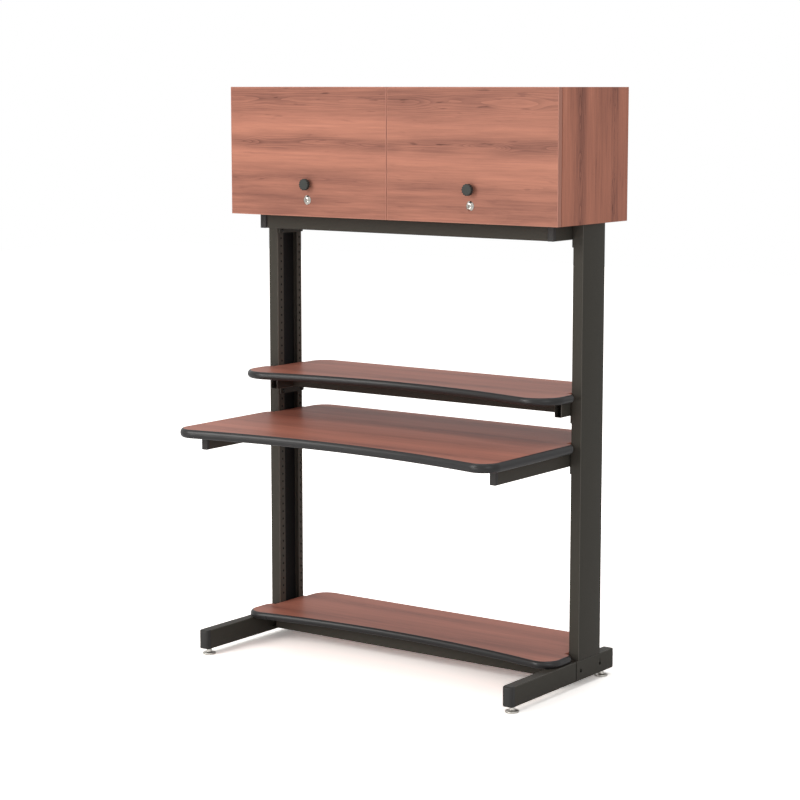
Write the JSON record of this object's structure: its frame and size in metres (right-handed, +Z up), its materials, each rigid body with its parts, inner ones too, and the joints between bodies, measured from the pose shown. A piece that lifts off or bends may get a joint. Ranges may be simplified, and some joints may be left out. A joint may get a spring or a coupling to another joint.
{
  "type": "dispatch console",
  "caption": "Dispatch console with arched shelves between perforated channel uprights on T-shaped feet and an overhead cabinet with flip-up locking doors.",
  "frame": {"origin": "on the floor, in the middle of the overall width and depth", "axes": "+Z up, the user's side towards -Y, +X to the user's right"},
  "size_m": [1.237, 0.725, 1.824],
  "materials": {
    "steel": "semi-gloss powder coat, warm charcoal",
    "cap": "satin moulded",
    "chrome": "polished",
    "zinc": "zinc plated",
    "edging": "satin bullnose edging, black",
    "knob": "satin",
    "door_wood": "reddish cherry laminate, horizontal grain, satin",
    "side_wood": "reddish cherry laminate, vertical grain, satin",
    "shelf_wood": "reddish cherry laminate, lengthwise grain, satin"
  },
  "bodies": {
    "frame": {"post_channel_left": "steel", "post_channel_right": "steel", "rack_strip_front_left": "steel", "rack_strip_front_right": "steel", "rack_strip_rear_left": "steel", "rack_strip_rear_right": "steel", "foot_base_left": "steel", "foot_base_right": "steel", "foot_arm_left": "steel", "foot_arm_right": "steel", "foot_cap_front_left": "cap", "foot_cap_front_right": "cap", "foot_cap_rear_left": "cap", "foot_cap_rear_right": "cap", "work_surface_arm_left": "steel", "work_surface_arm_right": "steel", "work_surface_rail": "steel", "work_surface_board": "shelf_wood", "work_surface_front_edging": "edging", "work_surface_rear_edging": "edging", "upper_shelf_arm_left": "steel", "upper_shelf_arm_right": "steel", "upper_shelf_rail": "steel", "upper_shelf_board": "shelf_wood", "upper_shelf_front_edging": "edging", "upper_shelf_rear_edging": "edging", "lower_shelf_arm_left": "steel", "lower_shelf_arm_right": "steel", "lower_shelf_rail": "steel", "lower_shelf_board": "shelf_wood", "lower_shelf_front_edging": "edging", "lower_shelf_rear_edging": "edging", "cabinet_arm_left": "steel", "cabinet_arm_right": "steel", "cabinet_rail": "steel", "cabinet_side_left": "side_wood", "cabinet_side_right": "side_wood", "cabinet_top": "side_wood", "cabinet_bottom": "side_wood", "cabinet_back": "side_wood", "cabinet_divider": "side_wood", "hinge_leaf_cabinet_left": "zinc", "hinge_leaf_cabinet_right": "zinc", "lock_strike_left": "zinc", "lock_strike_right": "zinc"},
    "door_left": {"door_left": "door_wood", "hinge_leaf_door_left": "zinc", "door_knob_left": "knob", "lock_body_left": "chrome"},
    "lock_left": {"lock_plug_left": "chrome"},
    "glide_front_left": {"glide_front_left": "chrome"},
    "glide_rear_left": {"glide_rear_left": "chrome"},
    "door_right": {"door_right": "door_wood", "hinge_leaf_door_right": "zinc", "door_knob_right": "knob", "lock_body_right": "chrome"},
    "lock_right": {"lock_plug_right": "chrome"},
    "glide_front_right": {"glide_front_right": "chrome"},
    "glide_rear_right": {"glide_rear_right": "chrome"}
  },
  "joints": [
    {"name": "door_hinge_left", "type": "hinge", "parent": "frame", "child": "door_left", "pos_m": [-0.30925, -0.01749, 1.8211], "axis": [-1, 0, 0], "range_deg": [0, 90]},
    {"name": "door_hinge_right", "type": "hinge", "parent": "frame", "child": "door_right", "pos_m": [0.30925, -0.01749, 1.8211], "axis": [-1, 0, 0], "range_deg": [0, 90]},
    {"name": "lock_turn_left", "type": "hinge", "parent": "door_left", "child": "lock_left", "pos_m": [-0.30925, -0.03, 1.471], "axis": [0, 1, 0], "range_deg": [0, 90]},
    {"name": "lock_turn_right", "type": "hinge", "parent": "door_right", "child": "lock_right", "pos_m": [0.30925, -0.03, 1.471], "axis": [0, 1, 0], "range_deg": [0, 90]},
    {"name": "glide_front_left_screw", "type": "slide", "parent": "frame", "child": "glide_front_left", "axis": [0, 0, -1], "range_m": [0, 0.015]},
    {"name": "glide_rear_left_screw", "type": "slide", "parent": "frame", "child": "glide_rear_left", "axis": [0, 0, -1], "range_m": [0, 0.015]},
    {"name": "glide_front_right_screw", "type": "slide", "parent": "frame", "child": "glide_front_right", "axis": [0, 0, -1], "range_m": [0, 0.015]},
    {"name": "glide_rear_right_screw", "type": "slide", "parent": "frame", "child": "glide_rear_right", "axis": [0, 0, -1], "range_m": [0, 0.015]}
  ]
}
